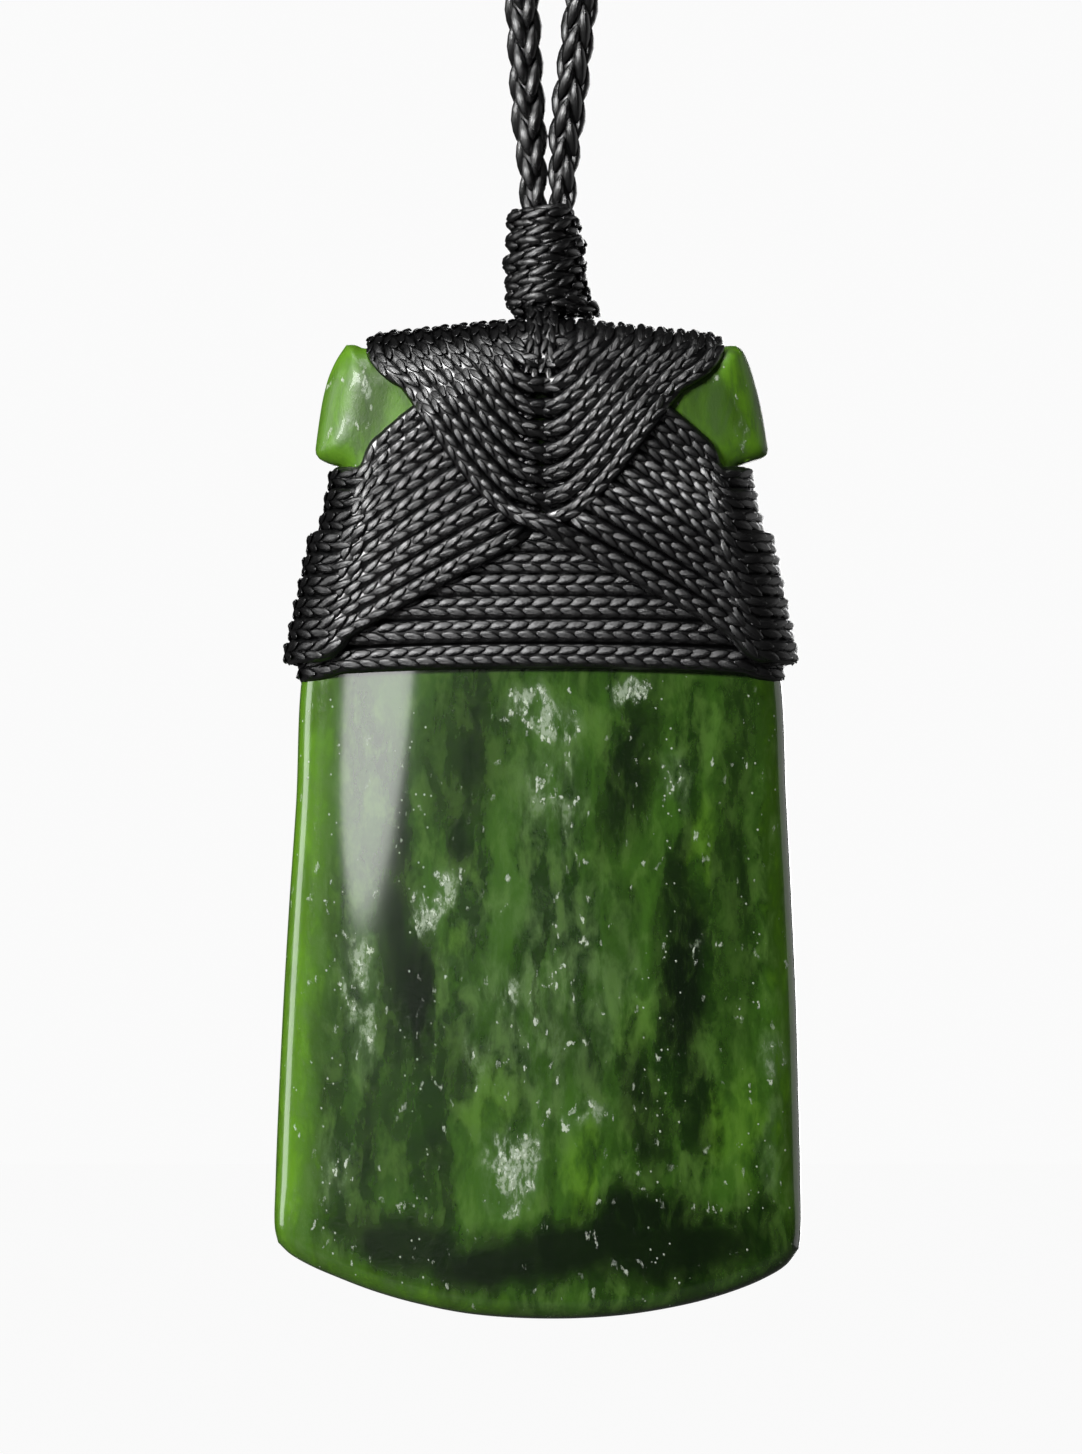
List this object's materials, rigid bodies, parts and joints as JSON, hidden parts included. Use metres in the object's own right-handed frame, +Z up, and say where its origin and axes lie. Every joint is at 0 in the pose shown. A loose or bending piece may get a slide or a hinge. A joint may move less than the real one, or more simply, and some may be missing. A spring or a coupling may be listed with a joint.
{
  "type": "jade pendant necklace",
  "caption": "Jade adze-blade pendant bound with crossed turns of waxed cord, hung on a plaited neck cord that goes over the head.",
  "frame": {"origin": "where the neck cord bears on the neck: the inside of the top of its loop, in the middle", "axes": "+Z up along the hanging pendant, +X to the viewer's right, -Y towards the viewer, out of the blade's polished front"},
  "size_m": [0.1128, 0.0104, 0.3846],
  "materials": {
    "jade": "polished nephrite, mottled dark and yellow green",
    "binding_cord": "black waxed braid, satin",
    "whipping_cord": "black waxed braid, satin",
    "plaited_cord": "black waxed plait, satin"
  },
  "bodies": {
    "root": {"stone": "jade", "waist_turns": "binding_cord", "crossed_turns": "binding_cord", "whipping": "whipping_cord", "neck_cord": "plaited_cord"}
  },
  "joints": []
}
